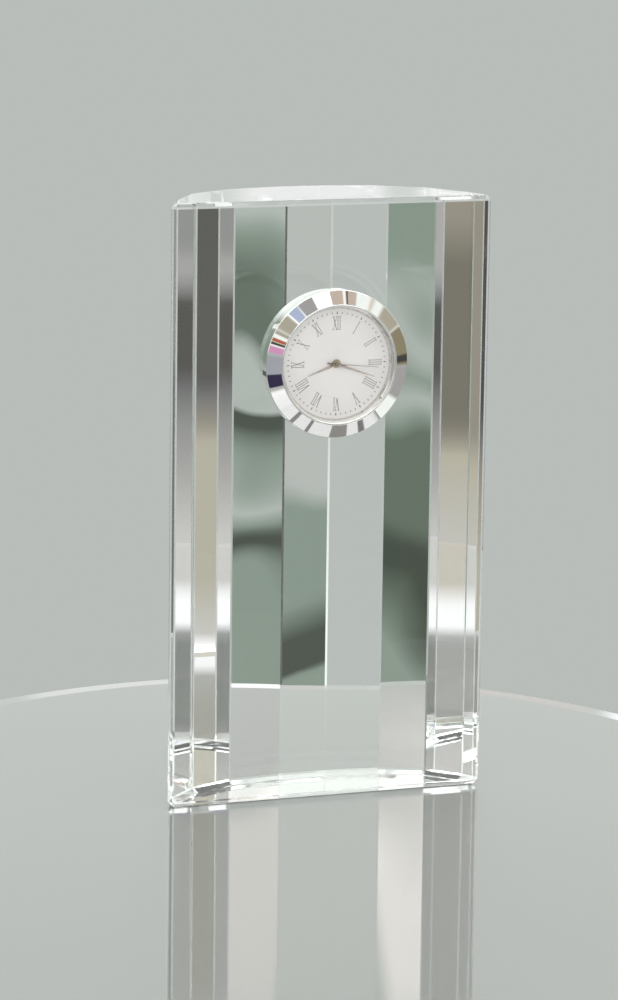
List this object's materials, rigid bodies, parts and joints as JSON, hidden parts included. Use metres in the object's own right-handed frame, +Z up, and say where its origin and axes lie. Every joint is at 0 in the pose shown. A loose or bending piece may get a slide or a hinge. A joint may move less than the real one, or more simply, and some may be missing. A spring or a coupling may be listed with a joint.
{
  "type": "crystal desk clock",
  "caption": "Upright clear crystal block with a flat front and a faceted back, holding a small round chrome quartz clock with a white Roman dial near its top.",
  "frame": {"origin": "on the table, under the middle of the clock's outer box", "axes": "+Z up, the clock faces -Y, +X to the right as its front is seen"},
  "size_m": [0.082, 0.0346, 0.15],
  "materials": {
    "crystal": "polished cut crystal",
    "chrome": "mirror polish",
    "watch_glass": "clear mineral glass",
    "polished_steel": "polished",
    "dial_white": "fine matt white paint",
    "print_ink": "printed dark grey ink",
    "hand_metal": "polished, slightly warm",
    "nickel": "nickel plated",
    "steel": "satin",
    "brass": "satin brass",
    "rubber": "matt black",
    "white_plastic": "moulded",
    "black_plastic": "moulded",
    "green_board": "solder mask",
    "copper_wire": "enamelled wire",
    "magnet": "sintered"
  },
  "bodies": {
    "crystal": {"crystal_block": "crystal"},
    "clock_insert": {"bezel": "chrome", "glass": "watch_glass", "glass_seal": "rubber", "dial_ring": "polished_steel", "dial": "dial_white", "numerals": "print_ink", "minute_track": "print_ink", "case": "nickel", "grip_ring": "rubber", "back_cover": "steel", "back_seal": "rubber", "movement_holder": "white_plastic", "main_plate": "brass", "train_bridge": "nickel", "bridge_screws": "steel", "stator": "steel", "coil_core": "steel", "coil_winding": "copper_wire", "circuit_board": "green_board", "chip": "black_plastic", "quartz_can": "nickel", "button_cell": "nickel", "battery_clamp": "steel", "clamp_screw": "steel", "negative_strip": "brass"},
    "rotor": {"rotor_magnet": "magnet", "rotor_pinion": "brass"},
    "fifth": {"fifth_wheel": "brass"},
    "seconds": {"fourth_wheel": "brass", "seconds_hand": "hand_metal", "hub_cap": "hand_metal"},
    "third": {"third_wheel": "brass"},
    "centre": {"centre_wheel": "brass"},
    "minutes": {"cannon_pinion": "brass", "minute_hand": "hand_metal"},
    "minute_gear": {"minute_wheel": "brass"},
    "hours": {"hour_wheel": "brass", "hour_hand": "hand_metal"},
    "setting_gear": {"setting_wheel": "brass"},
    "clutch": {"clutch_pinion": "steel"},
    "crown_stem": {"stem": "steel", "crown": "chrome"},
    "lever": {"setting_lever": "steel"}
  },
  "joints": [
    {"name": "clock_pull", "type": "slide", "parent": "crystal", "child": "clock_insert", "axis": [0, -1, 0], "range_m": [0, 0.012]},
    {"name": "seconds_turn", "type": "hinge", "parent": "clock_insert", "child": "seconds", "pos_m": [0, -0.01265, 0.1101], "axis": [0, 1, 0], "continuous": true},
    {"name": "rotor_turn", "type": "hinge", "parent": "clock_insert", "child": "rotor", "pos_m": [0.00159, -0.01265, 0.10482], "axis": [0, 1, 0], "continuous": true},
    {"name": "fifth_turn", "type": "hinge", "parent": "clock_insert", "child": "fifth", "pos_m": [0.00257, -0.01265, 0.10753], "axis": [0, 1, 0], "continuous": true},
    {"name": "third_turn", "type": "hinge", "parent": "clock_insert", "child": "third", "pos_m": [0, -0.01265, 0.1137], "axis": [0, 1, 0], "continuous": true},
    {"name": "centre_turn", "type": "hinge", "parent": "clock_insert", "child": "centre", "pos_m": [0, -0.01265, 0.1101], "axis": [0, 1, 0], "continuous": true},
    {"name": "minute_turn", "type": "hinge", "parent": "clock_insert", "child": "minutes", "pos_m": [0, -0.01265, 0.1101], "axis": [0, 1, 0], "continuous": true},
    {"name": "minute_gear_turn", "type": "hinge", "parent": "clock_insert", "child": "minute_gear", "pos_m": [0.00262, -0.01265, 0.11194], "axis": [0, 1, 0], "continuous": true},
    {"name": "hour_turn", "type": "hinge", "parent": "clock_insert", "child": "hours", "pos_m": [0, -0.01265, 0.1101], "axis": [0, 1, 0], "continuous": true},
    {"name": "setting_turn", "type": "hinge", "parent": "clock_insert", "child": "setting_gear", "pos_m": [0.00527, -0.01265, 0.10987], "axis": [0, 1, 0], "continuous": true},
    {"name": "crown_turn", "type": "hinge", "parent": "clock_insert", "child": "clutch", "pos_m": [0.0052, -0.01125, 0.1101], "axis": [1, 0, 0], "continuous": true},
    {"name": "crown_pull", "type": "slide", "parent": "clutch", "child": "crown_stem", "axis": [1, 0, 0], "range_m": [0, 0.0006]},
    {"name": "lever_turn", "type": "hinge", "parent": "clock_insert", "child": "lever", "pos_m": [0.00735, -0.01125, 0.11371], "axis": [0, -1, 0], "range_deg": [0, 10.4]}
  ],
  "couplings": [
    {"joint": "rotor_turn", "follows": "seconds_turn", "ratio": 30},
    {"joint": "fifth_turn", "follows": "seconds_turn", "ratio": -6},
    {"joint": "third_turn", "follows": "seconds_turn", "ratio": -0.13333},
    {"joint": "centre_turn", "follows": "seconds_turn", "ratio": 0.016667},
    {"joint": "minute_gear_turn", "follows": "minute_turn", "ratio": -0.33333},
    {"joint": "hour_turn", "follows": "minute_turn", "ratio": 0.083333},
    {"joint": "setting_turn", "follows": "minute_turn", "ratio": 0.83333},
    {"joint": "lever_turn", "follows": "crown_pull", "rad_per_m": 298.91}
  ]
}
